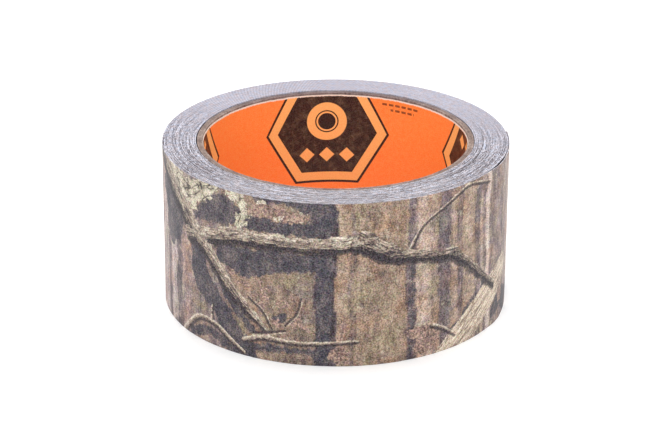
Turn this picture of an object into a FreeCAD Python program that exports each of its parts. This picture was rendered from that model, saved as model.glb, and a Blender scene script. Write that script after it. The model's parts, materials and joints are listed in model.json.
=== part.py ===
import FreeCAD, Part
import math
import os

import Sketcher
from FreeCAD import Placement, Rotation, Vector

# A roll of printed cloth duct tape on a spiral-wound paperboard core with a paper label inside.
# The strip is a laminate of film, cloth and adhesive, wound anticlockwise seen from above. Its
# free end is a tail of short links, hinged where the strip bends when it is peeled off.
# Frame: millimetres, +Z along the roll's axis, the origin at the centre of the edge it lies on.
# Azimuths are in degrees from +X, anticlockwise seen from above.

SIZES = [
    ("tape_width", 48.0, "slit width of the strip and height of the roll"),
    ("film_thick", 0.085, "printed polyethylene film, the outer layer"),
    ("cloth_thick", 0.07, "woven scrim in the middle"),
    ("adhesive_thick", 0.12, "rubber adhesive on the inner side"),
    ("wind_gap", 0.014, "air left between one turn and the next"),
    ("wind_turns", 33, "whole turns up to the root of the tail"),
    ("label_bore_r", 37.4, "clear bore of the roll, inside the label"),
    ("label_thick", 0.2, "paper of the label"),
    ("label_inset", 0.8, "from the roll's edge to the label's edge"),
    ("label_seam", 0.3, "gap between the label's two ends"),
    ("core_inset", 0.25, "from the roll's edge to the core's edge"),
    ("ply_thick", 0.56, "one ply of paperboard"),
    ("ply_lead", 110.0, "height in which a ply's helical seam goes once round"),
    ("seam_width", 0.35, "height of the slit between a ply's edges"),
    ("seam_step", 120.0, "azimuth from one ply's seam to the next ply's"),
    ("tail_root", -68.0, "azimuth where the tail leaves the wound turns"),
    ("tail_sweep", 75.0, "angle that the tail covers round the roll"),
    ("tail_links", 5, "rigid links that the tail is cut into"),
    ("tail_slack", 0.65, "how much larger the tail's radius is than the next turn's"),
    ("link_gap", 0.05, "slit between one link and the next"),
]
LAYERS = ["adhesive", "cloth", "film"]
PLIES = ["inner", "middle", "outer"]
CUT_OVERRUN = 2.0  # how far the seam's cut runs past each end of the core, in mm

os.makedirs("parts", exist_ok=True)
doc = FreeCAD.newDocument("duct_tape_roll")
sheet = doc.addObject("Spreadsheet::Sheet", "Sizes")
for row, (alias, value, note) in enumerate(SIZES, start=1):
    sheet.set(f"A{row}", alias)
    sheet.set(f"B{row}", str(value))
    sheet.setAlias(f"B{row}", alias)
    sheet.set(f"C{row}", note)
doc.recompute()
sub_parts = []


def size(alias):
    """The number in the sheet's cell of that name."""
    return float(sheet.get(alias))


def bound(expression):
    """An expression in aliases, with each alias pointing at the sheet."""
    for alias, _, _ in SIZES:
        expression = expression.replace(alias, "Sizes." + alias)
    return expression


def layer_offset(layer):
    """How far a layer's inner face lies outside the strip's inner face, as an expression."""
    below = LAYERS[: LAYERS.index(layer)]
    return " + ".join([f"{name}_thick" for name in below] or ["0"])


def section_sketch(body, name, inner, outer, bottom, top):
    """A rectangle on the body's XZ plane, between two radii and two heights given as expressions.

    It is drawn small and on the side where all sizes are positive; the constraints then set it.
    """
    sketch = body.newObject("Sketcher::SketchObject", name)
    plane = next(f for f in body.Origin.OriginFeatures if f.Role == "XZ_Plane")
    sketch.AttachmentSupport = [(plane, "")]
    sketch.MapMode = "FlatFace"
    x0, x1, y0, y1 = 30.0, 31.0, 1.0, 2.0
    corners = [Vector(x0, y0, 0), Vector(x1, y0, 0), Vector(x1, y1, 0), Vector(x0, y1, 0)]
    for i in range(4):
        sketch.addGeometry(Part.LineSegment(corners[i], corners[(i + 1) % 4]), False)
    for i in range(4):
        sketch.addConstraint(Sketcher.Constraint("Coincident", i, 2, (i + 1) % 4, 1))
        sketch.addConstraint(Sketcher.Constraint("Vertical" if i % 2 else "Horizontal", i))
    sides = [
        ("inner", "DistanceX", 0, x0, inner),
        ("bottom", "DistanceY", 0, y0, bottom),
        ("outer", "DistanceX", 2, x1, outer),
        ("top", "DistanceY", 2, y1, top),
    ]
    for side, kind, line, start, expression in sides:
        index = sketch.addConstraint(Sketcher.Constraint(kind, -1, 1, line, 1, start))
        sketch.renameConstraint(index, side)
        sketch.setExpression(f"Constraints.{side}", bound(expression))
    return sketch


def ring_body(name, inner, outer, bottom, top, sweep="360"):
    """A body turned about +Z from azimuth 0, all the way round or through the angle sweep."""
    body = doc.addObject("PartDesign::Body", name)
    body.Label = name
    sketch = section_sketch(body, name + "_section", inner, outer, bottom, top)
    turned = body.newObject("PartDesign::Revolution", name + "_turned")
    turned.Profile = sketch
    turned.ReferenceAxis = (sketch, ["V_Axis"])
    turned.Angle = 360.0
    if sweep != "360":
        turned.setExpression("Angle", bound(sweep))
    sub_parts.append(body)
    return body


def core_ply(index):
    """One paperboard ply: a tube cut through by the helical seam where its strip's edges meet."""
    name = f"core_{PLIES[index]}_ply"
    inner = f"label_bore_r + label_thick + {index} * ply_thick"
    outer = f"label_bore_r + label_thick + {index + 1} * ply_thick"
    body = ring_body(name, inner, outer, "core_inset", "tape_width - core_inset")
    blade = section_sketch(
        body,
        name + "_slit",
        f"{inner} - ply_thick",
        f"{outer} + ply_thick",
        f"0 - {CUT_OVERRUN}",
        f"seam_width - {CUT_OVERRUN}",
    )
    seam = body.newObject("PartDesign::SubtractiveHelix", name + "_seam")
    seam.Profile = blade
    seam.ReferenceAxis = (blade, ["V_Axis"])
    seam.Mode = "pitch-height-angle"
    seam.Refine = False  # the slit's two sides stay faces of their own
    seam.setExpression("Pitch", bound("ply_lead"))
    seam.setExpression("Height", bound(f"tape_width + 2 * {CUT_OVERRUN}"))
    body.Placement = Placement(Vector(), Rotation(Vector(0, 0, 1), index * size("seam_step")))


def core_label():
    """The printed paper glued to the core's inner wall, with a butt seam."""
    ring_body(
        "core_label",
        "label_bore_r",
        "label_bore_r + label_thick",
        "label_inset",
        "tape_width - label_inset",
        "360 - label_seam / label_bore_r * 180 / pi",
    )


def strip_pitch():
    """How much the strip's radius grows in one turn."""
    return sum(size(f"{layer}_thick") for layer in LAYERS) + size("wind_gap")


def first_radius():
    """The radius of the strip's first half turn, which just clears the core all round."""
    core_outer = size("label_bore_r") + size("label_thick") + len(PLIES) * size("ply_thick")
    return core_outer + size("wind_gap") + strip_pitch() / 4


def half_turns(offset):
    """The spiral as half circles about two centres in turn, tangent where they meet."""
    pitch = strip_pitch()
    arcs = []
    for k in range(2 * round(size("wind_turns"))):
        centre = Vector(pitch / 4 * (1 if k % 2 else -1), 0, 0)
        radius = first_radius() + k * pitch / 2 + offset
        start = 180 * (k % 2)
        arcs.append(Part.makeCircle(radius, centre, Vector(0, 0, 1), start, start + 180))
    return arcs


def wound_layer(layer):
    """One layer of the wound strip, a spiral ribbon as high as the roll."""
    inner_offset = sum(size(f"{name}_thick") for name in LAYERS[: LAYERS.index(layer)])
    inner = half_turns(inner_offset)
    outer = half_turns(inner_offset + size(f"{layer}_thick"))
    ends = [
        Part.makeLine(inner[0].firstVertex().Point, outer[0].firstVertex().Point),
        Part.makeLine(inner[-1].lastVertex().Point, outer[-1].lastVertex().Point),
    ]
    outline = Part.Wire(Part.__sortEdges__(inner + outer + ends))
    ribbon = doc.addObject("Part::Feature", f"tape_{layer}")
    ribbon.Label = f"tape_{layer}"
    ribbon.Shape = Part.Face(outline).extrude(Vector(0, 0, size("tape_width")))
    ribbon.Placement = Placement(Vector(), Rotation(Vector(0, 0, 1), size("tail_root")))
    sub_parts.append(ribbon)


def tail_radius():
    """The radius of the tail's inner face."""
    pitch = strip_pitch()
    return first_radius() + size("wind_turns") * pitch + size("tail_slack")


def tail_centre():
    """The tail's centre, set so that the tail leaves the wound turns at a tangent."""
    back = -strip_pitch() / 4 - size("tail_slack")
    root = math.radians(size("tail_root"))
    return Vector(back * math.cos(root), back * math.sin(root), 0)


def link_azimuth(link):
    """Where a link starts, counted from 0, in degrees."""
    return size("tail_root") + link * size("tail_sweep") / size("tail_links")


def tail_link(link, layer):
    """One layer of one link of the tail: an arc about the tail's centre, with a slit at its root.

    base is tail_radius() written as an expression.
    """
    base = (
        f"label_bore_r + label_thick + {len(PLIES)} * ply_thick + wind_gap + tail_slack"
        " + (film_thick + cloth_thick + adhesive_thick + wind_gap) * (wind_turns + 1 / 4)"
    )
    inner = f"{base} + {layer_offset(layer)}"
    outer = f"{inner} + {layer}_thick"
    slit = f"link_gap / ({base}) * 180 / pi"
    sweep = f"tail_sweep / tail_links - {slit}"
    body = ring_body(f"tail_{link + 1}_{layer}", inner, outer, "0", "tape_width", sweep)
    slit_angle = math.degrees(size("link_gap") / tail_radius())
    turn = Rotation(Vector(0, 0, 1), link_azimuth(link) + slit_angle)
    body.Placement = Placement(tail_centre(), turn)


def check_document():
    """Stop unless every object is sound and every sub-part is one valid solid."""
    for item in doc.Objects:
        bad = [state for state in item.State if state in ("Invalid", "Error")]
        if bad:
            raise RuntimeError(f"{item.Name} is {bad}")
    for item in sub_parts:
        shape = item.Shape
        if shape.isNull() or not shape.isValid() or len(shape.Solids) != 1:
            raise RuntimeError(f"{item.Label} has no single valid solid")


for ply in range(len(PLIES)):
    core_ply(ply)
core_label()
for layer in LAYERS:
    wound_layer(layer)
for link in range(round(size("tail_links"))):
    for layer in LAYERS:
        tail_link(link, layer)
doc.recompute()
check_document()

strip_thick = sum(size(f"{layer}_thick") for layer in LAYERS)
for link in range(round(size("tail_links"))):
    angle = math.radians(link_azimuth(link))
    reach = tail_radius() + strip_thick
    hinge = tail_centre() + Vector(math.cos(angle), math.sin(angle), 0) * reach
    print(f"hinge {link + 1} at {hinge.x:.4f} {hinge.y:.4f} mm")
ribbon_volume = sum(item.Shape.Volume for item in sub_parts if item.Label.startswith("tape_"))
length = ribbon_volume / strip_thick / size("tape_width")
print(f"wound length {length / 1000:.2f} m, outer radius {tail_radius() + strip_thick:.2f} mm")

for item in sub_parts:
    item.Shape.exportStep(f"parts/{item.Label}.step")
    print(f"{item.Label} {item.Shape.Volume:.1f} mm3")
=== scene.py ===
import json
import math

import bpy
import numpy as np
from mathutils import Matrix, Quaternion, Vector


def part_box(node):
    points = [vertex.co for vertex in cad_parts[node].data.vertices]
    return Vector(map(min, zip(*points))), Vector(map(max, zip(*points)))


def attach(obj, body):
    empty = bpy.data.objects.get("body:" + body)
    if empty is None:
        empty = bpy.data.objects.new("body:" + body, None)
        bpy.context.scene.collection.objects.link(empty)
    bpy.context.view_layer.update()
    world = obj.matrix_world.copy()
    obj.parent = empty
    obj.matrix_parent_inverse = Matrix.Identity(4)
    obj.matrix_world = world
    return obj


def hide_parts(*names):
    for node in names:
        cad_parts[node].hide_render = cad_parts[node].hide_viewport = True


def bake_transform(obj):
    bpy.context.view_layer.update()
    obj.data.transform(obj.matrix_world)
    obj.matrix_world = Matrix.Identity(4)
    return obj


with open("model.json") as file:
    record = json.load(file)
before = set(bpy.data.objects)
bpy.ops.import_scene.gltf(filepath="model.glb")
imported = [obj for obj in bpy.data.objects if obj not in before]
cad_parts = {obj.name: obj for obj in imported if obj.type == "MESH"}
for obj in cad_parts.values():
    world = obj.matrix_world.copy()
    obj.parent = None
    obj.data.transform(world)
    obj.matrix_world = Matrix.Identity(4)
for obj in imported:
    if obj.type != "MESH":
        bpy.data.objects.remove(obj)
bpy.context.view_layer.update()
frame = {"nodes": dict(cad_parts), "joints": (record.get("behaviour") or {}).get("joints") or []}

# A roll of cloth duct tape, printed with bark and branches, on a paperboard core with an orange
# paper label inside. Lengths in this script are in millimetres until a mesh is made, in metres.
# s is the length along the strip, 0 on the left of the roll and growing anticlockwise; height is
# measured from the edge that the roll lies on.

MM = 0.001

# ------------------------ sizes from the frame


def radii(node):
    """The smallest and largest distance of a CAD node's corners from the roll's axis."""
    corners = np.array([v.co[:2] for v in frame["nodes"][node].data.vertices])
    r = np.hypot(corners[:, 0], corners[:, 1]) / MM
    return r.min(), r.max()


def levels(node):
    """A CAD node's lowest and highest z."""
    low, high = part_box(node)
    return low.z / MM, high.z / MM


def circle_through(a, b, c):
    """The centre and radius of the circle through three points."""
    rows = np.array([b - a, c - a]) * 2
    sums = np.array([b @ b - a @ a, c @ c - a @ a])
    centre = np.linalg.solve(rows, sums)
    return centre, np.hypot(*(a - centre))


WIDTH = levels("tape_film")[1]
TURNS = 33
STATIONS = 300
HINGES = np.array([joint["pos_m"][:2] for joint in frame["joints"]]) / MM
ROOT = math.atan2(HINGES[0][1], HINGES[0][0])
TAIL_CENTRE, TAIL_R = circle_through(HINGES[0], HINGES[2], HINGES[4])
LINKS = len(HINGES)


def tail_angle(point):
    """The angle of a point about the tail's own centre."""
    return math.atan2(point[1] - TAIL_CENTRE[1], point[0] - TAIL_CENTRE[0])


LINK_TURN = (tail_angle(HINGES[-1]) - tail_angle(HINGES[0])) / (LINKS - 1)
TAIL_SWEEP = LINKS * LINK_TURN

# The thickness of the strip's layers, from the inner side out. They are thinner than a turn's pitch,
# and what is left is air.
ADHESIVE, CLOTH, FILM = 0.10, 0.06, 0.075
STRIP = ADHESIVE + CLOTH + FILM
FIRST_R = radii("tape_adhesive")[0]
LAST_R = math.hypot(*HINGES[0]) - STRIP
PITCH = (LAST_R - FIRST_R) / TURNS


def smooth(x, low, high):
    """0 below low, 1 above high, and a smooth rise between them."""
    x = np.clip((np.asarray(x, float) - low) / (high - low), 0, 1)
    return x * x * (3 - 2 * x)


def lattice(x, y, seed):
    """Smooth value noise from -1 to 1 over two arrays of coordinates, one lattice step per unit."""
    table = np.random.default_rng(seed).uniform(-1, 1, (256, 256))
    ix, iy = np.floor(x).astype(int), np.floor(y).astype(int)
    fx, fy = smooth(x - ix, 0, 1), smooth(y - iy, 0, 1)
    corner = [table[(ix + i) % 256, (iy + j) % 256] for i in (0, 1) for j in (0, 1)]
    left = corner[0] * (1 - fy) + corner[1] * fy
    right = corner[2] * (1 - fy) + corner[3] * fy
    return left * (1 - fx) + right * fx


# ------------------------ the wound spiral


# Turns wound less tightly: turn number, azimuth in degrees, half spread in degrees, extra air in mm
LOOSE_TURNS = [(8, -26, 24, 0.26), (4, -35, 30, 0.08), (14, 150, 30, 0.07), (24, -140, 30, 0.07)]


def wound_radii():
    """The inner radius of the strip at every station of every turn, pressed on the turn below."""
    count = TURNS * STATIONS + 1
    turn = np.arange(count) / STATIONS
    azimuth = ROOT + turn * 2 * math.pi
    even = FIRST_R + PITCH * turn
    air = (PITCH - STRIP) * (1 + 0.6 * lattice(turn * 13.3, turn * 0, 11))
    facing = np.degrees((azimuth + math.pi) % (2 * math.pi) - math.pi)
    for at_turn, at_azimuth, spread, extra in LOOSE_TURNS:
        near = (np.floor(turn) == at_turn) * np.exp(-(((facing - at_azimuth) / spread) ** 2))
        air = air + extra * near
    radius = even.copy()
    for k in range(STATIONS, count):
        radius[k] = radius[k - STATIONS] + STRIP + air[k]
    error = radius[-STATIONS:] - even[-STATIONS:]
    drift = np.resize(np.roll(error, 1), count)
    return azimuth, radius - drift * turn / TURNS


WOUND_AZIMUTH, WOUND_R = wound_radii()
END_AZIMUTH = WOUND_AZIMUTH[-1]


def inner_radius(azimuth):
    """The strip's inner radius at total azimuths, from the start of the strip at the core."""
    return np.interp(azimuth, WOUND_AZIMUTH, WOUND_R)


# The tail's air over the turn below, in mm: everywhere, at its bulge, and at its end. Then where the
# bulge and the end are, and how far the bulge spreads each way, in degrees from the tail's root.
TAIL_AIR, BULGE_AIR, END_AIR = 0.04, 0.42, 0.16
BULGE_AT, BULGE_BEFORE, BULGE_AFTER, END_AT = 44.8, 6, 9, 75


def tail_inner_radius(swept):
    """The tail's inner radius after swept radians from its root: it bulges off the roll."""
    under = inner_radius(END_AZIMUTH - 2 * math.pi + swept) + STRIP
    degrees = np.degrees(swept)
    spread = np.where(degrees < BULGE_AT, BULGE_BEFORE, BULGE_AFTER)
    bulge = BULGE_AIR * np.exp(-(((degrees - BULGE_AT) / spread) ** 2))
    return under + (TAIL_AIR + bulge + END_AIR * (degrees / END_AT) ** 3) * smooth(degrees, 0, 20)


def strip_length(azimuth):
    """The length s in mm at a total azimuth: 0 on the left of the last turn."""
    left = math.radians(-180) - ROOT + END_AZIMUTH
    return (np.asarray(azimuth) - left) * LAST_R


# ------------------------ meshes


def attribute(mesh, name, values):
    """Keep one number, or a vector of three, for each vertex."""
    values = np.asarray(values, np.float32)
    if values.ndim == 2:
        made = mesh.attributes.new(name, "FLOAT_VECTOR", "POINT")
        made.data.foreach_set("vector", values.ravel())
    else:
        made = mesh.attributes.new(name, "FLOAT", "POINT")
        made.data.foreach_set("value", values.ravel())


def lofted(name, rings, slots, materials, closed=False):
    """A mesh through rings of points, each a closed loop; slots gives each side's material.

    rings is an array of stations by points by 3, in mm. Open ends are capped.
    """
    n, k, _ = rings.shape
    index = np.arange(n * k).reshape(n, k)
    here, there = (index, np.roll(index, -1, 0)) if closed else (index[:-1], index[1:])
    quads = np.stack(
        [here, there, np.roll(there, -1, 1), np.roll(here, -1, 1)], axis=-1
    ).reshape(-1, 4)
    faces = quads.tolist()
    face_slots = np.tile(np.asarray(slots), len(here)).tolist()
    if not closed:
        faces += [index[0].tolist(), index[-1][::-1].tolist()]
        face_slots += [max(slots), max(slots)]
    mesh = bpy.data.meshes.new(name)
    mesh.from_pydata((rings.reshape(-1, 3) * MM).tolist(), [], faces)
    for material in materials:
        mesh.materials.append(material)
    mesh.polygons.foreach_set("material_index", face_slots)
    mesh.polygons.foreach_set("use_smooth", [True] * len(faces))
    mesh.set_sharp_from_angle(angle=math.radians(35))
    mesh.update()
    made = bpy.data.objects.new(name, mesh)
    bpy.context.scene.collection.objects.link(made)
    return made


def polar(azimuth, radius, height):
    """Points from azimuth, radius and height arrays."""
    return np.stack([radius * np.cos(azimuth), radius * np.sin(azimuth), height], axis=-1)


def strip_piece(name, azimuth, inner, outer, low, high, rows, materials):
    """A stretch of one layer: a thin ribbon between two radii, with rows of points up its outer face.

    azimuth, inner, low and high hold one value for each station; outer may hold one for each row.
    """
    n = len(azimuth)
    share = np.linspace(0, 1, rows)[None, :]
    height = low[:, None] * (1 - share) + high[:, None] * share
    outer = np.broadcast_to(outer if np.ndim(outer) == 2 else outer[:, None], (n, rows))
    ring = np.concatenate(
        [
            polar(azimuth[:, None], outer, height),
            polar(azimuth, inner, high)[:, None],
            polar(azimuth, inner, low)[:, None],
        ],
        axis=1,
    )
    slots = [0] * (rows - 1) + [1, 1, 1]
    made = lofted(name, ring, slots, materials)
    points = ring.reshape(-1, 3)
    along = np.repeat(strip_length(azimuth), rows + 2)
    depth = np.hypot(points[:, 0], points[:, 1])
    attribute(made.data, "strip", np.stack([along, points[:, 2], depth], axis=-1))
    return made


# ------------------------ the print, as fields over the film

# A stroke is a centre-line: (s, depth below the top edge, half thickness), in mm.
LIMBS = [
    [(-4, -16, 4.0), (9, -3, 3.8), (20, 5.5, 3.2), (28, 11, 3.0), (34, 16.5, 2.9)],
    [(31, 17, 2.6), (40, 15, 2.5), (50, 12.6, 2.4), (61, 12.4, 2.2), (74, 12.3, 2.2), (86, 11.3, 2.9)],
    [(84, 11, 2.9), (91, 15, 3.0), (98, 16.8, 1.8), (107, 18.5, 1.6), (113, 19.3, 1.7)],
    [(111, 19.2, 1.7), (117, 23, 1.4), (123, 28.5, 1.2), (131, 35, 1.0)],
    [(33, 16, 2.8), (40, 21.5, 2.2), (46, 28, 1.9), (52, 33.5, 1.5), (57, 38, 0.7)],
    [(-152, 40, 2.2), (-138, 31, 2.6), (-122, 25, 2.9), (-104, 24, 3.2), (-88, 18, 3.4), (-74, 8, 3.6)],
    [(-104, 24, 2.6), (-92, 31, 2.2), (-82, 40, 1.8), (-76, 50, 1.4)],
    [(-58, 50, 3.4), (-50, 38, 3.0), (-41, 29, 2.7), (-28, 24, 2.2), (-14, 26, 1.6), (-4, 31, 1.0)],
    [(-214, 10, 2.6), (-196, 16, 2.9), (-178, 15, 2.6), (-160, 6, 2.2)],
]
TWIGS = [
    [(97, 16, 0.45), (101, 9, 0.28), (107, 5.2, 0.26), (113, 2.4, 0.26), (120, -0.8, 0.24)],
    [(112, 2.6, 0.31), (118, 0.8, 0.31), (127, 2.6, 0.35)],
    [(25, 50, 0.94), (31, 43.5, 0.78), (35, 41, 0.7), (41, 41.2, 0.62), (46, 44, 0.62), (51, 47, 0.47)],
    [(40, 41, 0.39), (39.6, 38, 0.31), (40, 35.5, 0.23)],
    [(51, 43, 0.7), (57, 41.2, 0.62), (66, 41.5, 0.55), (74, 41.1, 0.47), (83, 40.5, 0.39)],
    [(105, 39, 0.47), (109, 41, 0.47), (113, 44, 0.31)],
    [(53, 30, 0.22), (57, 33.2, 0.26), (59.6, 37.8, 0.2)],
    [(68, 28.5, 0.2), (66.8, 33, 0.24), (63.8, 36.6, 0.2)],
    [(63, 38.6, 0.23), (58, 40, 0.31), (54, 40.8, 0.31)],
    [(-88, 18, 0.78), (-80, 24, 0.62), (-70, 26, 0.47), (-62, 33, 0.31)],
    [(-41, 29, 0.7), (-38, 18, 0.62), (-30, 9, 0.55), (-18, 4, 0.39)],
    [(-128, 26, 0.7), (-122, 14, 0.55), (-112, 6, 0.47), (-104, -2, 0.39)],
    [(-20, 46, 0.7), (-8, 41, 0.62), (4, 42, 0.47)],
    [(148, 8, 0.62), (152, 14, 0.55), (158, 15, 0.47), (166, 20, 0.39)],
    [(-190, 40, 0.7), (-178, 34, 0.62), (-166, 36, 0.47)],
]
LOGS = [
    [(104, 56, 4.6), (113, 47.5, 4.6), (122, 41, 4.6), (130, 36, 4.4), (138, 31.5, 3.4)],
    [(-150, 2, 3.6), (-168, -4, 4.0)],
    [(-24, 52, 4.6), (-34, 44, 4.4), (-47, 40, 3.6)],
]
SHADOWS = [
    [(34, 10.5, 1.6), (42, 6.5, 4.2), (48, 7, 3.0), (56, 8, 2.2), (66, 8, 2.2), (74.2, 7, 2.4)],
    [(56, -1, 2.4), (66, -0.5, 2.2), (74, 3, 3.4)],
    [(45, 19, 3.2), (52, 20, 4.2), (60, 18, 3.4), (70, 17.4, 2.6), (74.4, 16.8, 2.2)],
    [(73.8, 14, 2.2), (74.0, 30, 2.1), (73.7, 50, 2.0)],
    [(14, 8, 3.0), (21, 15, 5.4), (19.5, 22, 2.6)],
    [(33.5, 20, 2.6), (36, 29, 4.0), (42, 35, 3.2), (48, 43, 3.6), (53, 49, 3.0)],
    [(44, 29, 1.0), (49, 35, 1.3), (55, 40.5, 0.9)],
    [(52, 44.3, 1.0), (64, 44, 0.9), (78, 43.6, 0.7)],
    [(31, 46.5, 1.4), (40, 44, 1.2), (49, 48.5, 1.8)],
    [(98.2, 20, 0.4), (98.4, 33, 0.8), (98.1, 50, 0.7)],
    [(112, 42.5, 0.7), (119, 37, 0.8), (125, 33, 0.6)],
    [(60.4, 35, 0.9), (62.6, 34.2, 1.3)],
    [(131, 44, 1.6), (137, 41, 3.0), (143, 44.5, 3.4), (150, 42.5, 2.6), (157, 47, 3.6)],
    [(-132, 33, 2.0), (-117, 31, 3.6), (-103, 31.5, 3.0)],
    [(-99, 21.5, 1.6), (-91, 22.5, 3.0), (-84, 29, 2.2)],
    [(-66, -2, 2.6), (-65, 12, 4.2), (-67, 26, 3.0), (-66, 34, 1.8)],
    [(-42, -2, 3.2), (-41, 9, 4.4), (-43, 21, 2.4)],
    [(-50, 47, 2.2), (-40, 37, 3.0), (-29, 30, 3.2), (-15, 32, 2.4)],
    [(-142, -2, 2.6), (-141, 12, 3.4), (-142, 22, 2.0)],
    [(-141, 41, 2.2), (-142, 52, 3.4)],
    [(-201, -2, 2.6), (-199, 14, 3.6), (-201, 52, 3.0)],
    [(-178, 23, 3.0), (-166, 16, 3.0)],
    # Painted shade: a dark band along the top of the last turn under the tail, for the shadow in the gap
    # between the tail and the roll.
    [(-186, -3, 3.0), (-172, 0, 4.0), (-158, -3, 3.0)],
]
LEAVES = [
    [(21, 0, 3.6), (28, 4.5, 4.4), (35, 3, 4.2), (41, -1, 2.4)],
    [(48, -1, 2.4), (51, 4, 2.2), (49.5, 9.5, 1.4)],
    [(56, 2, 0.8), (62, 5, 1.2), (69, 4, 0.8)],
    [(-118, 12, 4.0), (-104, 10, 5.0), (-94, 6, 3.0)],
    [(-70, 36, 4.0), (-62, 42, 5.0)],
    [(-16, 14, 4.0), (-6, 18, 3.0)],
    [(158, 6, 4.0), (164, 10, 3.0)],
]
LITTER = [
    [(53, 4.6, 1.0), (59, 3.6, 1.8), (67, 4.6, 1.4)],
    [(62, 30, 1.0), (66, 28.6, 0.8)],
    [(56, 25, 0.6), (58, 28, 1.2), (57, 31, 0.7)],
    [(66, 35, 1.6), (70, 37.5, 1.0)],
    [(47, 24, 1.0), (52, 26.5, 0.6)],
    [(60, 36, 0.9), (63, 38, 0.6)],
    [(77.5, 44.5, 2.2), (81, 44.5, 1.4)],
    [(78, 39.5, 0.6), (79, 36, 0.9)],
    [(99, 40, 2.2), (104, 42, 3.2), (102, 45, 2.4)],
    [(134, 35, 2.4), (137, 41, 1.6)],
    [(-132, 44, 3.0), (-120, 45, 2.4)],
    [(-36, 14, 2.4), (-28, 16, 1.6)],
    [(-180, 44, 3.0), (-170, 42, 2.0)],
]
# Bark columns: where each starts, how light it is and how warm it is, both from 0 to 1.
COLUMNS = [
    (-215, 0.50, 0.5), (-203, 0.30, 0.3), (-192, 0.58, 0.7), (-180, 0.42, 0.4), (-170, 0.60, 0.8),
    (-156, 0.34, 0.2), (-148, 0.56, 0.6), (-138, 0.64, 0.8), (-127, 0.40, 0.3), (-119, 0.58, 0.7),
    (-104, 0.30, 0.2), (-97, 0.55, 0.6), (-84, 0.62, 0.9), (-73, 0.38, 0.3), (-65, 0.52, 0.5),
    (-54, 0.60, 0.8), (-42, 0.32, 0.2), (-34, 0.56, 0.6), (-22, 0.48, 0.4), (-12, 0.60, 0.4),
    (0, 0.60, 0.3), (9, 0.63, 0.3), (15.2, 0.30, 0.2), (17.3, 0.66, 0.3), (22.4, 0.32, 0.2),
    (25.6, 0.54, 0.4), (31.5, 0.44, 0.5), (46, 0.44, 0.8), (66, 0.40, 0.7), (71.6, 0.08, 0.1),
    (77, 0.53, 0.9), (80.9, 0.42, 0.6), (82, 0.49, 0.9), (96.9, 0.34, 0.3), (99.4, 0.62, 0.65),
    (104.8, 0.54, 0.7), (107, 0.33, 0.2), (111, 0.53, 0.7), (114, 0.42, 0.4), (115.6, 0.58, 0.8),
    (121.4, 0.42, 0.4), (123.4, 0.60, 0.6), (125.4, 0.46, 0.4), (126.4, 0.76, 0.5), (128.8, 0.47, 0.45),
    (137, 0.51, 0.45), (143.5, 0.66, 0.5), (152, 0.58, 0.3), (162, 0.50, 0.4),
]


STROKE_STEP = 0.5
STROKE_REACH = 12
STROKES_APART = 60


def traced(stroke):
    """Points, half thicknesses and directions along a smooth curve through a stroke's points."""
    p = np.array(stroke, float)
    p = np.vstack([2 * p[0] - p[1], p, 2 * p[-1] - p[-2]])
    out = []
    for a, b, c, d in zip(p, p[1:], p[2:], p[3:]):
        t = np.arange(0, 1, STROKE_STEP / max(np.hypot(*(c - b)[:2]), STROKE_STEP))[:, None]
        bend = (2 * a - 5 * b + 4 * c - d) * t**2 + (3 * b - a - 3 * c + d) * t**3
        out.append(0.5 * (2 * b + (c - a) * t + bend))
    line = np.vstack(out + [p[-2:-1]])
    way = np.gradient(line[:, :2], axis=0)
    return line, way / np.linalg.norm(way, axis=1, keepdims=True)


def stroke_field(s, depth, strokes):
    """How far inside the nearest stroke each point is, how far across it, and how far along it.

    Across runs from -1 to 1 over the stroke's thickness. Along starts further on for each stroke, so
    that no two have the same grain. Points out of a stroke's reach don't read it.
    """
    inside = np.full(s.shape, -50.0)
    across, along = np.zeros(s.shape), np.zeros(s.shape)
    for number, stroke in enumerate(strokes):
        line, way = traced(stroke)
        reach = line[:, 2].max() + STROKE_REACH
        near = (s > line[:, 0].min() - reach) & (s < line[:, 0].max() + reach)
        if not near.any():
            continue
        dx = s[near][:, None] - line[None, :, 0]
        dy = depth[near][:, None] - line[None, :, 1]
        gap = line[None, :, 2] - np.hypot(dx, dy)
        best = gap.argmax(1)
        rows = np.arange(len(best))
        found = gap[rows, best]
        side = dy[rows, best] * way[best, 0] - dx[rows, best] * way[best, 1]
        better = found > inside[near]
        spots = np.flatnonzero(near)[better]
        inside[spots] = found[better]
        across[spots] = (side / line[best, 2])[better]
        along[spots] = best[better] * STROKE_STEP + number * STROKES_APART
    return inside, across, along


def print_fields(s, height):
    """Everything that the print's material reads, for each point of the film's outer face."""
    depth = WIDTH - height
    starts = np.array([c[0] for c in COLUMNS])
    sway = s + 0.8 * lattice(depth / 9, s / 40, 3) + 0.4 * lattice(depth / 3, s / 30, 4)
    column = np.clip(np.searchsorted(starts, sway) - 1, 0, len(COLUMNS) - 1)
    limb, limb_across, limb_along = stroke_field(s, depth, LIMBS)
    twig, twig_across, _ = stroke_field(s, depth, TWIGS)
    log, log_across, log_along = stroke_field(s, depth, LOGS)
    shade, _, _ = stroke_field(s, depth, SHADOWS)
    leaf, leaf_across, leaf_along = stroke_field(s, depth, LEAVES)
    litter, _, _ = stroke_field(s, depth, LITTER)
    edge = np.minimum(sway - starts[column], np.append(starts[1:], 999)[column] - sway)
    return {
        "tone": np.array([c[1] for c in COLUMNS])[column],
        "warmth": np.array([c[2] for c in COLUMNS])[column],
        "crack": edge,
        "limb": np.stack([limb, limb_across, limb_along], -1),
        "twig": np.stack([twig, twig_across, twig * 0], -1),
        "log": np.stack([log, log_across, log_along], -1),
        "leaf": np.stack([leaf, leaf_across, leaf_along], -1),
        "cover": np.stack([shade, litter, shade * 0], -1),
    }


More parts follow.
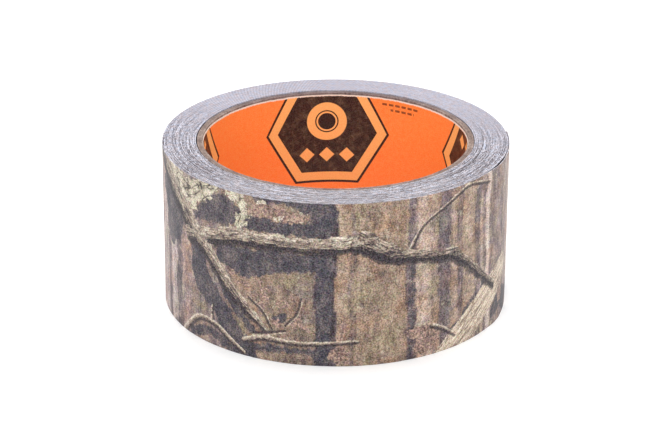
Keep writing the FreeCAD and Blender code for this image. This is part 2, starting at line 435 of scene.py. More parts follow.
def add_print(piece):
    """Store the print's fields on a film piece."""
    values = np.zeros(len(piece.data.vertices) * 3, np.float32)
    piece.data.attributes["strip"].data.foreach_get("vector", values)
    values = values.reshape(-1, 3)
    for name, field in print_fields(values[:, 0].astype(float), values[:, 1].astype(float)).items():
        attribute(piece.data, name, field)


# ------------------------ material building


def colour(red, green, blue):
    """A colour as it looks on a screen, 0 to 255, in the linear values that a shader takes."""
    def linear(v):
        v /= 255
        return v / 12.92 if v <= 0.04045 else ((v + 0.055) / 1.055) ** 2.4
    return (linear(red), linear(green), linear(blue), 1.0)


class Shading:
    """A material's node tree, built with short calls that each return an output socket."""

    def __init__(self, name, roughness=0.5, specular=0.5):
        self.material = bpy.data.materials.new(name)
        self.material.use_nodes = True
        self.tree = self.material.node_tree
        self.shader = self.tree.nodes["Principled BSDF"]
        self.shader.inputs["Roughness"].default_value = roughness
        self.shader.inputs["Specular IOR Level"].default_value = specular

    def node(self, kind, settings=(), **inputs):
        made = self.tree.nodes.new("ShaderNode" + kind)
        for key, value in dict(settings).items():
            setattr(made, key, value)
        for key, value in inputs.items():
            socket = made.inputs[int(key[1:])] if key[1:].isdigit() else made.inputs[key]
            self.feed(socket, value)
        return made

    def feed(self, socket, value):
        if isinstance(value, bpy.types.NodeSocket):
            self.tree.links.new(value, socket)
        elif value is not None:
            socket.default_value = value

    def math(self, operation, a, b=None, c=None):
        return self.node("Math", {"operation": operation}, _0=a, _1=b, _2=c).outputs[0]

    def times(self, a, b):
        return self.math("MULTIPLY", a, b)

    def times_add(self, a, b, c):
        return self.math("MULTIPLY_ADD", a, b, c)

    def varied(self, tone, noise, amount):
        """A tone moved up and down by a noise about its middle."""
        return self.times_add(self.math("SUBTRACT", noise, 0.5), amount, tone)

    def step(self, value, low, high):
        """0 below low, 1 above high, smooth between."""
        settings = {"interpolation_type": "SMOOTHSTEP"}
        made = self.node("MapRange", settings, Value=value)
        made.inputs["From Min"].default_value = low
        made.inputs["From Max"].default_value = high
        return made.outputs["Result"]

    def mix(self, share, a, b, blend="MIX"):
        settings = {"data_type": "RGBA", "blend_type": blend}
        return self.node("Mix", settings, _0=share, _6=a, _7=b).outputs[2]

    def field(self, name):
        return self.node("Attribute", {"attribute_name": name})

    def parts(self, vector):
        return self.node("SeparateXYZ", (), _0=vector).outputs

    def vector(self, x, y):
        return self.node("CombineXYZ", (), X=x, Y=y).outputs[0]

    def scaled(self, vector, x, y, z=1.0):
        made = self.node("VectorMath", {"operation": "MULTIPLY"}, _0=vector)
        made.inputs[1].default_value = (x, y, z)
        return made.outputs[0]

    def noise(self, vector, scale, detail, rough=0.5):
        made = self.node("TexNoise", (), Vector=vector)
        made.inputs["Scale"].default_value = scale
        made.inputs["Detail"].default_value = detail
        made.inputs["Roughness"].default_value = rough
        return made.outputs["Fac"]

    def ramp(self, value, stops, steps=False):
        made = self.node("ValToRGB", (), Fac=value)
        ramp = made.color_ramp
        ramp.interpolation = "CONSTANT" if steps else "LINEAR"
        for place, _ in stops[2:]:
            ramp.elements.new(place)
        for element, (place, shade) in zip(sorted(ramp.elements, key=lambda e: e.position), stops):
            element.position, element.color = place, shade
        return made.outputs["Color"]

    def finish(self, base, bump=None, distance=0.05, strength=0.5):
        self.feed(self.shader.inputs["Base Color"], base)
        if bump is not None:
            made = self.node("Bump", (), Height=bump)
            made.inputs["Distance"].default_value = distance * MM
            made.inputs["Strength"].default_value = strength
            self.feed(self.shader.inputs["Normal"], made.outputs["Normal"])
        return self.material


def streaked(m, place, rise, scale):
    """Noise drawn out along the height: the grain of bark."""
    return m.noise(m.scaled(place, 1.0, rise), scale, 4, 0.6)


YARN_PITCH = 1.1


def woven(m, place):
    """The height of a woven scrim under a film: ridges both ways, one yarn apart."""
    s, height, _ = m.parts(place)
    warp = m.math("SINE", m.times(s, 2 * math.pi / YARN_PITCH))
    weft = m.math("SINE", m.times(height, 2 * math.pi / (YARN_PITCH * 0.8)))
    return m.times(m.math("ADD", warp, weft), 0.5)


def hair_lines(m, vector, scale, thin):
    """1 along thin wandering lines, 0 elsewhere: cracks and veins."""
    waves = m.noise(vector, scale, 2, 0.5)
    return m.step(m.math("ABSOLUTE", m.math("SUBTRACT", waves, 0.5)), thin, thin * 0.2)


def within(m, value, limit, soft=0.12):
    """1 where a distance is below a limit, with a hair of softness."""
    return m.step(value, limit + soft, limit - soft)


def between(m, value, low, high):
    """1 where a value lies between two limits."""
    middle, half = (low + high) / 2, (high - low) / 2
    return within(m, m.math("ABSOLUTE", m.math("SUBTRACT", value, middle)), half, 0.05)


def all_of(m, *shares):
    """The product of several shares."""
    product = shares[0]
    for share in shares[1:]:
        product = m.times(product, share)
    return product


def fine_grain(m, place, ground, strength):
    """The print's dots: a fine speckle, lighter and darker, with a trace of colour."""
    dots = m.noise(place, 2.9, 1, 0.5)
    grey = m.ramp(dots, [(0.33, (0, 0, 0, 1)), (0.67, (1, 1, 1, 1))])
    tint = m.node("TexNoise", (), Vector=place)
    tint.inputs["Scale"].default_value = 1.9
    tint.inputs["Detail"].default_value = 1
    coloured = m.mix(0.35, grey, tint.outputs["Color"])
    overlaid = m.mix(strength, ground, coloured, "OVERLAY")
    return m.mix(0.032, overlaid, coloured, "LINEAR_LIGHT")


# Colours by tone, from dark to light; BARK_HUES is by place, and is multiplied in.
DARK_LINE = colour(54, 46, 50)
WARM_BARK = [
    (0.05, colour(58, 48, 46)), (0.30, colour(104, 87, 79)), (0.50, colour(142, 122, 104)),
    (0.70, colour(176, 155, 136)), (0.95, colour(214, 198, 182)),
]
COOL_BARK = [
    (0.05, colour(52, 44, 50)), (0.30, colour(98, 86, 90)), (0.50, colour(138, 123, 125)),
    (0.70, colour(180, 163, 161)), (0.95, colour(222, 208, 205)),
]
BARK_HUES = [
    (0.28, colour(255, 228, 208)), (0.42, colour(255, 243, 236)), (0.50, colour(254, 251, 255)),
    (0.60, colour(247, 252, 243)), (0.75, colour(233, 249, 229)),
]
SHADOW = [(0.30, colour(38, 34, 43)), (0.52, colour(60, 57, 66)), (0.78, colour(118, 105, 102))]
LEAF = [
    (0.05, colour(62, 54, 52)), (0.30, colour(128, 119, 106)), (0.55, colour(178, 168, 149)),
    (0.95, colour(216, 207, 190)),
]
LITTER_TONES = [
    (0.05, colour(60, 50, 48)), (0.35, colour(122, 100, 92)), (0.60, colour(170, 142, 127)),
    (0.95, colour(208, 184, 168)),
]
PALE_WOOD = [
    (0.05, colour(76, 62, 60)), (0.30, colour(140, 122, 108)), (0.60, colour(194, 177, 157)),
    (0.95, colour(226, 212, 194)),
]
LIMB = [
    (0.05, colour(46, 38, 44)), (0.30, colour(102, 88, 82)), (0.56, colour(156, 140, 124)),
    (0.95, colour(209, 196, 180)),
]
MOSSY_LIMB = [
    (0.05, colour(46, 42, 42)), (0.30, colour(94, 90, 84)), (0.55, colour(144, 142, 128)),
    (0.95, colour(200, 200, 186)),
]


class FilmShading(Shading):
    """The printed film's material, with the noises that the layers of the print share."""

    def __init__(self):
        super().__init__("printed_film", roughness=0.52, specular=0.3)
        self.place = self.field("strip").outputs["Vector"]
        self.wander = self.noise(self.place, 0.30, 3)
        self.fine = self.noise(self.place, 1.3, 4, 0.65)
        self.ragged = self.times_add(self.fine, 1.6, -0.8)
        self.blotch = self.noise(self.scaled(self.place, 1.0, 0.55), 0.35, 5, 0.6)
        self.knots = self.noise(self.place, 0.38, 3, 0.5)

    def stroke(self, name):
        """How far inside the nearest stroke of a kind a point is, how far across and how far along."""
        return self.parts(self.field(name).outputs["Vector"])


def bark(m):
    """Upright columns of bark, mottled and flecked, with dark cracks between some of them."""
    place = m.place
    streak = streaked(m, place, 0.10, 0.8)
    thin_streak = streaked(m, place, 0.16, 2.4)
    mottle = m.noise(m.scaled(place, 1.0, 0.75), 0.7, 4, 0.6)
    tone = m.field("tone").outputs["Fac"]
    for layer, amount in ((streak, 0.34), (thin_streak, 0.14), (m.blotch, 0.62), (mottle, 0.42)):
        tone = m.varied(tone, layer, amount)
    warmth = m.varied(m.varied(m.field("warmth").outputs["Fac"], m.wander, 1.2), mottle, 0.8)
    shade = m.mix(m.step(warmth, 0.1, 0.9), m.ramp(tone, COOL_BARK), m.ramp(tone, WARM_BARK))
    hue = m.noise(m.scaled(place, 1.0, 0.7), 0.19, 4, 0.6)
    shade = m.mix(0.8, shade, m.ramp(hue, BARK_HUES), "MULTIPLY")

    flecks = m.step(m.noise(m.scaled(place, 1.0, 0.55), 0.55, 5, 0.6), 0.60, 0.66)
    lichen = m.step(m.noise(place, 0.36, 5, 0.62), 0.60, 0.66)
    shade = m.mix(m.times(flecks, 0.42), shade, DARK_LINE)
    shade = m.mix(m.times(lichen, 0.45), shade, m.ramp(m.times_add(m.fine, 1.0, 0.05), LEAF))

    fissures = hair_lines(m, m.scaled(place, 0.8, 0.22), 1.0, 0.030)
    fissured = m.times(fissures, m.step(m.blotch, 0.62, 0.42))
    shade = m.mix(fissured, shade, m.mix(0.55, shade, DARK_LINE))
    broken = m.noise(m.scaled(place, 0.3, 0.16), 1.0, 3, 0.6)
    crack = m.times_add(m.fine, 1.4, m.field("crack").outputs["Fac"])
    open_crack = m.times(m.step(crack, 1.35, 0.5), m.step(broken, 0.40, 0.60))
    return m.mix(m.times(open_crack, 0.8), shade, DARK_LINE)


def shadows(m, ground):
    """The dark gaps between trunks and under limbs."""
    loose = m.times_add(m.noise(m.scaled(m.place, 1.0, 0.6), 0.45, 6, 0.6), 5.0, -2.5)
    shade, _, _ = m.stroke("cover")
    dark = m.step(m.math("ADD", shade, loose), -0.4, 0.45)
    deep = m.ramp(m.times_add(m.blotch, 0.6, m.times(m.fine, 0.5)), SHADOW)
    return m.mix(m.times(dark, 0.94), ground, deep)


def leaves(m, ground):
    """Pale lobed patches with dark veins."""
    inside, across, along = m.stroke("leaf")
    spread = m.vector(m.times(across, 2.6), m.times(along, 0.28))
    veins = m.math("MAXIMUM", hair_lines(m, spread, 0.45, 0.035), hair_lines(m, m.place, 0.25, 0.02))
    tone = m.varied(m.varied(m.times_add(veins, -0.40, 0.58), m.fine, 0.4), m.blotch, 1.5)
    lobes = m.times_add(m.noise(m.place, 0.34, 5, 0.58), 12.0, -6.2)
    return m.mix(m.step(m.math("ADD", inside, lobes), -0.1, 0.3), ground, m.ramp(tone, LEAF))


def litter(m, ground):
    """Brown scraps with frayed outlines."""
    _, inside, _ = m.stroke("cover")
    frayed = m.times_add(m.noise(m.place, 0.45, 4, 0.6), 8.0, -4.0)
    tone = m.varied(m.times_add(m.wander, 0.6, 0.12), m.fine, 1.5)
    return m.mix(m.step(m.math("ADD", inside, frayed), -0.1, 0.4), ground, m.ramp(tone, LITTER_TONES))


def logs(m, ground):
    """Bare pale wood, split along its grain."""
    inside, across, along = m.stroke("log")
    run = m.vector(m.times(across, 3.0), m.times(along, 0.06))
    splits = m.math("MAXIMUM", hair_lines(m, run, 0.9, 0.04), hair_lines(m, run, 1.9, 0.03))
    tone = m.times_add(m.noise(run, 1.6, 3), 0.5, m.times_add(m.fine, 0.35, 0.28))
    tone = m.times_add(splits, -0.45, tone)
    return m.mix(m.step(m.times_add(m.ragged, 1.8, inside), -0.3, 0.3), ground, m.ramp(tone, PALE_WOOD))


def twigs(m, ground):
    """Thin twigs, lit from above, each with a dark line under it."""
    inside, across, _ = m.stroke("twig")
    tone = m.times_add(across, -0.40, m.times_add(m.fine, 1.3, -0.16))
    under = m.times(m.step(inside, -0.8, -0.3), m.step(across, 0.0, 0.4))
    ground = m.mix(m.times(under, 0.85), ground, DARK_LINE)
    return m.mix(m.step(m.times_add(m.ragged, 0.3, inside), -0.2, 0.1), ground, m.ramp(tone, LIMB))


def limbs(m, ground):
    """Thick limbs with furrowed bark, moss, a dark belly and a dark line under it."""
    inside, across, along = m.stroke("limb")
    grain = m.vector(m.times(across, 1.8), m.times(along, 0.13))
    rind = m.noise(grain, 1.5, 3, 0.6)
    furrows = m.math("MAXIMUM", hair_lines(m, grain, 1.1, 0.06), hair_lines(m, grain, 2.3, 0.06))
    tone = m.times_add(furrows, -0.34, m.times_add(across, -0.16, m.times_add(rind, 1.0, 0.11)))
    tone = m.varied(m.varied(tone, m.knots, 0.6), m.fine, 0.7)
    far_half = m.step(m.parts(m.place)[0], 78, 90)
    belly = m.times_add(far_half, 0.16, m.varied(across, m.fine, 1.5))
    tone = m.times_add(m.step(belly, 0.30, 0.75), -0.46, tone)
    tone = m.times_add(far_half, -0.14, tone)

    shape = m.varied(m.times_add(m.ragged, 0.5, inside), m.knots, 2.4)
    under = m.times(m.step(shape, -1.0, -0.3), m.step(across, 0.2, 0.8))
    ground = m.mix(m.times(under, 0.85), ground, DARK_LINE)
    mossy = m.times(m.step(m.noise(m.place, 0.5, 3, 0.6), 0.50, 0.66), 0.55)
    rind_colour = m.mix(mossy, m.ramp(tone, LIMB), m.ramp(tone, MOSSY_LIMB))
    return m.mix(m.step(shape, -0.1, 0.25), ground, rind_colour)


def printed_film():
    """The outer face: the layers of the print on satin film, with a pale band along its cut upper edge as
    painted highlight.
    """
    m = FilmShading()
    ground = bark(m)
    for layer in (shadows, leaves, litter, logs, twigs, limbs):
        ground = layer(m, ground)
    ground = fine_grain(m, m.place, ground, 0.58)
    depth = m.math("SUBTRACT", WIDTH, m.parts(m.place)[1])
    # Painted highlight: a pale band along the top edge of the print, where the cut edge catches the
    # light.
    rim = m.varied(depth, m.fine, 0.5)
    ground = m.mix(m.times(m.step(rim, 0.20, 0.0), 0.6), ground, colour(214, 212, 220))
    height = m.times_add(m.noise(m.place, 5.0, 2, 0.7), 0.9, woven(m, m.place))
    return m.finish(ground, bump=height, distance=0.03, strength=0.45)


SCRAPS = [(0.35, colour(60, 52, 56)), (0.5, colour(124, 112, 108)), (0.65, colour(186, 172, 166))]
EDGE_HUES = [(0.35, colour(238, 222, 222)), (0.5, colour(240, 238, 244)), (0.65, colour(222, 232, 250))]
BOARD = [(0.25, colour(92, 78, 74)), (0.5, colour(139, 121, 113)), (0.85, colour(196, 178, 168))]


def under_print():
    """The printed film as it shows at the edge of the inner turns: dark and light scraps of print."""
    m = Shading("under_print", roughness=0.5, specular=0.4)
    place = m.field("strip").outputs["Vector"]
    scrap = m.noise(place, 0.25, 5, 0.7)
    ground = m.ramp(scrap, SCRAPS)
    ground = fine_grain(m, place, ground, 0.4)
    return m.finish(ground, bump=scrap, distance=0.03, strength=0.4)


def edge_speckle(m, tone):
    """Add the roughness of a slit edge to a tone of 0 to 1: blots, dashes and arcs along the strip.

    The roll's front is the rougher half of its edge, and the arcs are strongest at its two sides. The
    tone is lowered at the left and right as painted shade between the turns, and raised at the very
    front.
    """
    spot = m.scaled(m.node("TexCoord").outputs["Object"], 1000, 1000)
    x, y, _ = m.parts(spot)
    strip = m.field("strip").outputs["Vector"]
    inboard = m.math("ABSOLUTE", m.math("SUBTRACT", m.parts(strip)[1], WIDTH / 2))
    slit = m.step(inboard, WIDTH / 2 - 1.0, WIDTH / 2 - 0.5)
    rough = m.times(slit, m.times_add(m.step(m.times_add(x, 0.1, y), 24, -16), 0.86, 0.14))
    blots = m.noise(m.scaled(spot, 4.0, 2.2), 1.0, 1, 0.5)
    dashes = m.noise(m.scaled(strip, 0.75, 1.0, 3.4), 1.0, 1, 0.5)
    arcs = m.noise(m.scaled(strip, 0.07, 1.0, 3.4), 1.0, 1, 0.5)
    aside = m.math("ABSOLUTE", x)
    drawn_out = m.times(rough, m.times_add(m.step(aside, 12, 36), 1.3, 0.7))
    dotted = m.times(rough, m.times_add(m.step(aside, 34, 12), 0.5, 1.0))
    for layer, amount, share in ((blots, 1.0, dotted), (dashes, 1.9, rough), (arcs, 1.0, drawn_out)):
        tone = m.times_add(m.times(m.math("SUBTRACT", layer, 0.5), share), amount, tone)
    # Painted shade: the edge is darkened at its left and right, where the gaps between turns show.
    sides = all_of(m, m.step(aside, 18, 44), m.step(y, 34, 10), slit)
    front = m.times(m.step(y, -22, -40), slit)
    return m.times_add(front, 0.13, m.times_add(sides, -0.07, m.times_add(rough, 0.02, tone)))


def edge_colour(m, tone, darkest, middle, lightest):
    """Three greys by tone, with a little blue or red from place to place."""
    base = m.ramp(tone, [(0.15, colour(*darkest)), (0.5, colour(*middle)), (0.85, colour(*lightest))])
    spot = m.scaled(m.node("TexCoord").outputs["Object"], 1000, 1000)
    hue = m.noise(spot, 0.7, 3, 0.6)
    return m.mix(0.8, base, m.ramp(hue, EDGE_HUES), "MULTIPLY")


def film_body():
    """The bare polyethylene of the film's edges and inner side."""
    m = Shading("film_body", roughness=0.42, specular=0.4)
    place = m.field("strip").outputs["Vector"]
    speck = m.noise(m.scaled(place, 0.5, 2.0, 3.4), 1.0, 3, 0.7)
    tone = edge_speckle(m, m.times_add(speck, 0.5, 0.25))
    base = edge_colour(m, tone, (112, 106, 112), (204, 202, 209), (250, 250, 255))
    return m.finish(base, bump=speck, distance=0.05, strength=0.5)


def scrim_cloth():
    """The woven layer: pale yarns, seen as cut ends on the roll's edges."""
    m = Shading("scrim_cloth", roughness=0.85, specular=0.2)
    m.shader.inputs["Sheen Weight"].default_value = 0.2
    place = m.field("strip").outputs["Vector"]
    yarn = m.math("SINE", m.times(m.parts(place)[0], 2 * math.pi / YARN_PITCH))
    speck = m.noise(m.scaled(place, 0.8, 2.0, 3.4), 1.1, 3, 0.75)
    tone = edge_speckle(m, m.times_add(yarn, 0.10, m.times_add(speck, 0.5, 0.25)))
    base = edge_colour(m, tone, (98, 92, 98), (188, 184, 192), (242, 242, 248))
    return m.finish(base, bump=speck, distance=0.08, strength=0.6)


def rubber_adhesive():
    """The tacky layer: silver-grey, with the scrim's yarns showing through."""
    m = Shading("rubber_adhesive", roughness=0.38, specular=0.45)
    place = m.field("strip").outputs["Vector"]
    smear = m.noise(m.scaled(place, 0.7, 0.7, 3.4), 1.0, 4, 0.6)
    weave = woven(m, place)
    tone = edge_speckle(m, m.times_add(weave, 0.10, m.times_add(smear, 0.5, 0.25)))
    base = edge_colour(m, tone, (94, 90, 98), (178, 176, 185), (232, 232, 240))
    return m.finish(base, bump=m.times_add(weave, 0.6, smear), distance=0.06, strength=0.5)


def paperboard(name, light):
    """Core stock: brown board with short fibres, darkened and greyed at the back as painted shade; light
    is added to its tone.
    """
    m = Shading(name, roughness=0.9, specular=0.15)
    spot = m.node("TexCoord").outputs["Object"]
    fibre = m.noise(m.scaled(spot, 1000, 1000, 260), 1.6, 5, 0.7)
    patch = m.noise(m.scaled(spot, 1000, 1000, 1000), 0.25, 3)
    tone = m.varied(m.math("ADD", fibre, light), patch, 0.5)
    base = m.ramp(tone, BOARD)
    # Painted shade: the board is darkened and turned bluer towards the back, where its upright wall is in
    # shadow.
    painted_back_shade = m.times(m.step(m.parts(spot)[1], 0.012, 0.036), 0.7)
    base = m.mix(painted_back_shade, base, colour(206, 206, 222), "MULTIPLY")
    return m.finish(base, bump=fibre, distance=0.12, strength=0.7)


# The emblems of one row round the label, where the first one's middle is, and how far the rows are apart.
EMBLEMS = 4
EMBLEM_AZIMUTH = math.radians(94)
EMBLEM_DEPTH = 11.4
ROW_HEIGHT = 42.0
LABEL_R = radii("core_label")[0]
INK, TAN = colour(50, 33, 28), colour(248, 180, 108)
ORANGE, PALE_ORANGE = colour(255, 130, 60), colour(255, 148, 76)


def label_print():
    """Coated orange paper with rows of emblems, every other one upside down, and dashed lines."""
    m = Shading("label_print", roughness=0.42, specular=0.3)
    x, y, _ = m.parts(m.field("label").outputs["Vector"])
    pitch = 2 * math.pi * LABEL_R / EMBLEMS
    row = m.math("FLOOR", m.times_add(y, 1 / ROW_HEIGHT, 0.5))
    column = m.math("ADD", m.times_add(x, 1 / pitch, 0.5), m.times(row, 0.5))
    number = m.math("FLOOR", column)
    ex = m.times(m.math("SUBTRACT", m.math("SUBTRACT", column, number), 0.5), pitch)
    ey = m.math("SUBTRACT", y, m.times(row, ROW_HEIGHT))
    turned = m.math("PINGPONG", number, 1.0)
    ey = m.times(ey, m.times_add(turned, -2.0, 1.0))
    paper = m.mix(m.step(m.noise(m.vector(x, y), 0.9, 4, 0.7), 0.25, 0.75), ORANGE, PALE_ORANGE)
    base = emblem(m, ex, ey, paper)

    upright = m.math("SUBTRACT", 1.0, turned)
    for rise, start, stop in ((9.2, 16.5, 29.0), (7.6, 19.5, 27.5)):
        dash = m.math("FRACT", m.times(ex, 1 / 2.1))
        line = m.times(between(m, ex, start, stop), between(m, ey, rise, rise + 0.7))
        line = m.times(line, within(m, dash, 0.72, 0.04))
        base = m.mix(all_of(m, line, upright, 0.75), base, INK)

    base = fine_grain(m, m.vector(x, y), base, 0.12)
    depth = m.field("label_depth").outputs["Fac"]
    paper_noise = m.noise(m.vector(x, y), 2.2, 3)
    torn = m.times(paper_noise, 0.7)
    base = m.mix(m.step(m.math("SUBTRACT", depth, torn), 0.12, -0.05), base, colour(240, 222, 208))
    return m.finish(base, bump=paper_noise, distance=0.02, strength=0.3)


def emblem(m, ex, ey, base):
    """A hexagonal plaque holding a drawing of a tape roll over three diamonds; ex and ey in mm."""
    ax, ay = m.math("ABSOLUTE", ex), m.math("ABSOLUTE", ey)
    plaque = m.math("MAXIMUM", ay, m.times_add(ax, 0.866, m.times(ay, 0.5)))
    zones = [(0.0, INK), (0.66, TAN), (0.79, INK), (0.83, ORANGE)]
    badge = m.ramp(m.times(plaque, 0.05), zones, steps=True)
    worn = m.noise(m.vector(ex, ey), 0.35, 4, 0.7)
    badge = m.mix(all_of(m, within(m, plaque, 13.0), m.step(worn, 0.42, 0.75)), badge, colour(98, 80, 64))

    lifted = m.math("SUBTRACT", ey, 3.0)
    ring = m.math("SQRT", m.times_add(ex, ex, m.times(lifted, lifted)))
    stages = [(0.0, INK), (0.26, TAN), (0.31, INK), (0.35, TAN), (0.60, INK)]
    drawn = m.ramp(m.times(ring, 0.1), stages, steps=True)
    badge = m.mix(within(m, ring, 6.0), badge, drawn)

    rise = m.math("ABSOLUTE", m.math("ADD", ey, 7.6))
    along = m.math("ABSOLUTE", m.math("SUBTRACT", m.math("FRACT", m.times_add(ex, 1 / 6.0, 0.5)), 0.5))
    diamond = within(m, m.times_add(along, 6.0, rise), 2.3)
    badge = m.mix(m.times(diamond, within(m, ax, 8.8)), badge, TAN)
    return m.mix(within(m, plaque, 16.6), base, badge)


def label_paper():
    """The uncoated edge and back of the label."""
    m = Shading("label_paper", roughness=0.9, specular=0.15)
    place = m.field("label").outputs["Vector"]
    fibre = m.noise(place, 3.0, 4, 0.7)
    base = m.ramp(fibre, [(0.3, colour(206, 194, 182)), (0.7, colour(244, 232, 220))])
    return m.finish(base, bump=fibre, distance=0.05, strength=0.5)


PRINT, UNDERPRINT, BODY = printed_film(), under_print(), film_body()
SCRIM, TACK = scrim_cloth(), rubber_adhesive()
LABEL, LABEL_EDGE = label_print(), label_paper()


# ------------------------ the roll


def edge_wander(azimuth, seed, amount, base):
    """How far a layer's slit edge stands in from the roll's face, with more wander at the front."""
    turn = (azimuth - ROOT) / (2 * math.pi)
    slow = lattice(turn * 3.1, turn * 0 + 3, 5)
    quick = lattice(azimuth * 22, turn * 9, seed)
    rough = 0.25 + 0.75 * smooth(np.sin(azimuth), 0.4, -0.1)
    return base + rough * (0.035 * (1 + slow) + amount * (1 + 0.9 * quick))


def ribbon(name, layer, azimuth, inner, rows, materials, relief=None):
    """One layer's stretch, from the strip's inner radius at each station."""
    below, thick, wander, base, seed = LAYERS[layer]
    low = edge_wander(azimuth, seed, wander, base)
    high = WIDTH - edge_wander(azimuth, seed + 50, wander, base)
    outer = inner + below + thick
    if relief is not None:
        outer = outer[:, None] + relief
    return strip_piece(name, azimuth, inner + below, outer, low, high, rows, materials)


# layer: where it starts above the strip's inner face, thickness, edge wander, edge inset, seed
LAYERS = {
    "adhesive": (0.0, ADHESIVE, 0.045, 0.04, 21),
    "cloth": (ADHESIVE, CLOTH, 0.05, 0.01, 31),
    "film": (ADHESIVE + CLOTH, FILM, 0.035, 0.0, 41),
}
# The materials of each layer's outer face and of its other sides.
FACE = {"adhesive": [TACK, TACK], "cloth": [SCRIM, SCRIM], "film": [UNDERPRINT, BODY]}
# The distance between points of the film's outer face.
GRID = 0.6


def film_relief(azimuth, rows):
    """Slow waves of the film's outer face, in mm, for each station and row."""
    s = strip_length(azimuth)[:, None]
    height = np.linspace(0, WIDTH, rows)[None, :]
    waves = lattice(s / 9 + height * 0, height / 14 + s * 0, 61) * 0.02
    return waves + lattice(s / 3 + height * 0, height / 5 + s * 0, 62) * 0.008


def wound_turns():
    """The strip from the core to the root of the tail, with the last turn's film finely divided."""
    pieces = []
    last = WOUND_AZIMUTH[-1 - STATIONS]
    for layer in LAYERS:
        stop = last if layer == "film" else END_AZIMUTH
        upto = WOUND_AZIMUTH <= stop + 1e-9
        azimuth = WOUND_AZIMUTH[upto]
        piece = ribbon(f"wound_{layer}", layer, azimuth, WOUND_R[upto], 2, FACE[layer])
        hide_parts(f"tape_{layer}")
        pieces.append((piece, layer))
    azimuth = np.linspace(last, END_AZIMUTH, round(2 * math.pi * LAST_R / GRID))
    rows = round(WIDTH / GRID) + 1
    inner, relief = inner_radius(azimuth), film_relief(azimuth, rows)
    film = ribbon("last_turn_film", "film", azimuth, inner, rows, [PRINT, BODY], relief)
    add_print(film)
    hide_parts("tape_film")
    pieces.append((film, "film"))
    for piece, layer in pieces:
        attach(piece, "roll")


def tail_pieces():
    """The tail in stretches, one for each link, from mid link to mid link, each spanning one hinge."""
    rows = round(WIDTH / GRID) + 1
    edges = [0.0] + [(link + 0.5) * LINK_TURN for link in range(LINKS - 1)] + [TAIL_SWEEP]
    for number in range(LINKS):
        begin, end = edges[number], edges[number + 1]
        swept = np.linspace(begin, end, max(round((end - begin) * LAST_R / GRID), 6) + 1)
        azimuth = END_AZIMUTH + swept
        inner = tail_inner_radius(swept)
        for layer in LAYERS:
            printed = layer == "film"
            relief = film_relief(azimuth, rows) if printed else None
            materials = [PRINT, BODY] if printed else FACE[layer]
            name = f"tail_{number + 1}_{layer}_skin"
            piece = ribbon(name, layer, azimuth, inner, rows if printed else 2, materials, relief)
            if printed:
                add_print(piece)
            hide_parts(f"tail_{number + 1}_{layer}")
            bend_over_hinge(piece)


def bend_over_hinge(piece):
    """Bake a stretch's placement into its mesh; the stretch is left unbent."""
    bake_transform(piece)


wound_turns()
tail_pieces()


# ------------------------ the core and its label


SEAM_AZIMUTH = math.radians(-100)
LABEL_SEAM = 0.3


def tube(name, radii_mm, levels_mm, rows, materials, seed, ragged, seam=0.0):
    """A ring-shaped wall with rows of points up its inner face and uneven rims.

    ragged is how uneven the rims are, in mm, and seam is the open angle between its two ends, if any.
    """
    inner, outer = radii_mm
    low, high = levels_mm
    count = 480
    azimuth = np.linspace(seam / 2, 2 * math.pi - seam / 2, count, endpoint=seam > 0)
    azimuth = azimuth + SEAM_AZIMUTH
    waves = lattice(azimuth * 14, azimuth * 3, seed)
    rim = ragged * (waves + 0.6 * lattice(azimuth * 45, azimuth * 7, seed + 1))
    top = high - abs(rim)
    foot = low + abs(np.roll(rim, 97))
    share = np.linspace(0, 1, rows)[None, :]
    height = top[:, None] * (1 - share) + foot[:, None] * share
    a = azimuth[:, None]
    ring = np.concatenate(
        [
            polar(a + 0 * share, inner + 0 * a + 0 * share, height),
            polar(azimuth, outer + 0 * azimuth, foot)[:, None],
            polar(azimuth, outer + 0 * azimuth, top)[:, None],
        ],
        axis=1,
    )
    slots = [0] * (rows - 1) + [1, 1, 1]
    made = lofted(name, ring, slots, materials, closed=seam == 0.0)
    return made, ring, top


def core():
    """The three plies, each a little uneven at its rims, and each with a hair of air round it."""
    for number, ply in enumerate(("inner", "middle", "outer")):
        node = f"core_{ply}_ply"
        inner, outer = radii(node)
        board = paperboard(f"paperboard_{ply}", (0.02, -0.05, 0.0)[number])
        clear = 0.10 if ply == "outer" else 0.01
        walls = (inner, outer - clear)
        piece, _, _ = tube(f"{ply}_ply_wall", walls, levels(node), 12, [board, board], 70 + number, 0.07)
        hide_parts(node)
        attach(piece, "roll")


def label():
    """The printed paper, with a butt seam at the front and a torn upper edge."""
    inner, outer = radii("core_label")
    faces = [LABEL, LABEL_EDGE]
    walls, sides = (inner, outer - 0.01), levels("core_label")
    piece, ring, top = tube("label_wall", walls, sides, 60, faces, 81, 0.10, LABEL_SEAM / inner)
    points = ring.reshape(-1, 3)
    past_seam = (np.arctan2(points[:, 1], points[:, 0]) - SEAM_AZIMUTH) % (2 * math.pi)
    away = EMBLEM_AZIMUTH - SEAM_AZIMUTH - past_seam
    upright = points[:, 2] - (sides[1] - EMBLEM_DEPTH)
    attribute(piece.data, "label", np.stack([away * inner, upright, 0 * away], axis=-1))
    attribute(piece.data, "label_depth", np.repeat(top, ring.shape[1]) - points[:, 2])
    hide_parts("core_label")
    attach(piece, "roll")


core()
label()


# ------------------------ floor, lights and camera


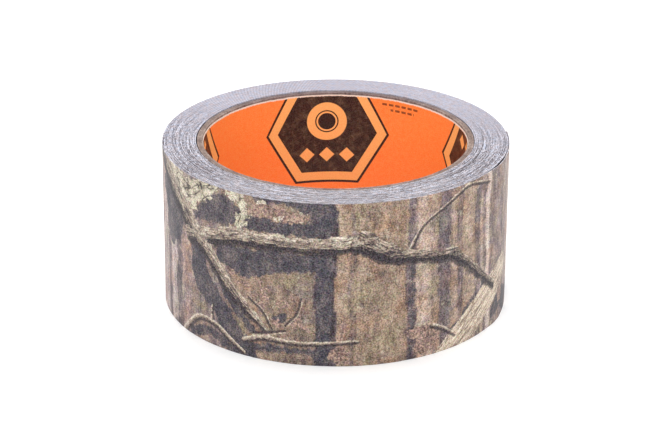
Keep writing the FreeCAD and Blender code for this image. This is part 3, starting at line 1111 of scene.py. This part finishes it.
def floor():
    """A plain pale floor."""
    mesh = bpy.data.meshes.new("floor")
    side = 6.0
    corners = [(-side, -side, 0), (side, -side, 0), (side, side, 0), (-side, side, 0)]
    mesh.from_pydata(corners, [], [(0, 1, 2, 3)])
    m = Shading("floor_white", roughness=0.9, specular=0.0)
    m.finish((0.98, 0.98, 0.98, 1))
    m.shader.inputs["Emission Color"].default_value = (1, 1, 1, 1)
    m.shader.inputs["Emission Strength"].default_value = 0.06
    mesh.materials.append(m.material)
    made = bpy.data.objects.new("floor", mesh)
    bpy.context.scene.collection.objects.link(made)


def softbox(name, place, target, size, power):
    """A large square lamp aimed at a point; place, target and size in metres."""
    lamp = bpy.data.lights.new(name, "AREA")
    lamp.shape = "SQUARE"
    lamp.size = size
    lamp.energy = power
    made = bpy.data.objects.new(name, lamp)
    made.location = place
    made.rotation_euler = (Vector(target) - Vector(place)).to_track_quat("-Z", "Y").to_euler()
    bpy.context.scene.collection.objects.link(made)


def studio():
    """White surroundings and two soft lamps, one over the roll and one before it."""
    world = bpy.data.worlds.new("white_room")
    world.use_nodes = True
    background = world.node_tree.nodes["Background"]
    background.inputs["Color"].default_value = (1.0, 1.0, 1.0, 1)
    background.inputs["Strength"].default_value = 0.95
    bpy.context.scene.world = world
    middle = (0, 0, WIDTH * MM / 2)
    softbox("overhead", (0.0, 0.25, 1.1), middle, 0.9, 7.0)
    softbox("front", (-0.15, -1.2, 0.6), middle, 0.8, 5.0)


VIEW_ELEVATION = math.radians(22.88)
VIEW_DISTANCE = 0.684
LENS = 128.0
AIM_BELOW_MIDDLE = 2.4
CAMERA_ROLL = math.radians(0.32)


def camera():
    """The picture's view: from the front and above, with a long lens."""
    data = bpy.data.cameras.new("camera")
    data.lens = LENS
    data.sensor_width = 36.0
    made = bpy.data.objects.new("camera", data)
    middle = Vector((0, 0, WIDTH * MM / 2))
    back = Vector((0, -math.cos(VIEW_ELEVATION), math.sin(VIEW_ELEVATION)))
    made.location = middle + back * VIEW_DISTANCE
    aim = middle - Vector((0, 0, AIM_BELOW_MIDDLE * MM))
    turned = (aim - made.location).to_track_quat("-Z", "Y")
    made.rotation_mode = "QUATERNION"
    made.rotation_quaternion = turned @ Quaternion((0, 0, 1), CAMERA_ROLL)
    bpy.context.scene.collection.objects.link(made)
    bpy.context.scene.camera = made


floor()
studio()
camera()
bpy.context.scene.view_settings.view_transform = "Standard"
